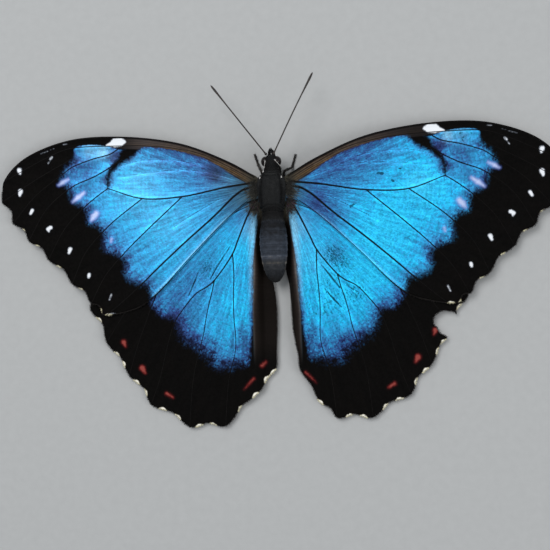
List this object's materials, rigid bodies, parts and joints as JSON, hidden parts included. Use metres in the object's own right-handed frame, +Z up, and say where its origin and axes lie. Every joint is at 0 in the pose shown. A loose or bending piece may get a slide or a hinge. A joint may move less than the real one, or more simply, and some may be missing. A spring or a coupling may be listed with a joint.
{
  "type": "blue morpho butterfly",
  "caption": "Life-size still model of a blue morpho butterfly at rest, wings spread flat: black-bordered iridescent blue wings with pale spots, slim clubbed antennae and thin legs.",
  "frame": {"origin": "on the floor, under the middle of the box around the whole insect", "axes": "+Z up, +Y ahead towards the head, +X towards the insect's own right"},
  "size_m": [0.1222, 0.0756, 0.0081],
  "materials": {
    "forewing_scales": "thin membrane with overlapping scales, metallic sky blue within a broad warm black border, small white spots",
    "hindwing_scales": "thin membrane with overlapping scales, metallic cyan blue within a broad warm black border, small dull red spots",
    "body_hair": "short charcoal hair scales",
    "abdomen_scales": "slate grey flat scales with paler ring edges",
    "chitin": "black-brown chitin with a low sheen",
    "eye": "glossy dark brown compound eye"
  },
  "bodies": {
    "root": {"abdomen": "abdomen_scales", "antenna_left": "chitin", "antenna_right": "chitin", "eye_left": "eye", "eye_right": "eye", "foreleg_left": "chitin", "foreleg_right": "chitin", "forewing_left": "forewing_scales", "forewing_right": "forewing_scales", "head": "body_hair", "hindleg_femur_left": "chitin", "hindleg_femur_right": "chitin", "hindleg_tarsus_left": "chitin", "hindleg_tarsus_right": "chitin", "hindleg_tibia_left": "chitin", "hindleg_tibia_right": "chitin", "hindwing_left": "hindwing_scales", "hindwing_right": "hindwing_scales", "midleg_femur_left": "chitin", "midleg_femur_right": "chitin", "midleg_tarsus_left": "chitin", "midleg_tarsus_right": "chitin", "midleg_tibia_left": "chitin", "midleg_tibia_right": "chitin", "palp_left": "body_hair", "palp_right": "body_hair", "proboscis": "chitin", "thorax": "body_hair"}
  },
  "joints": []
}
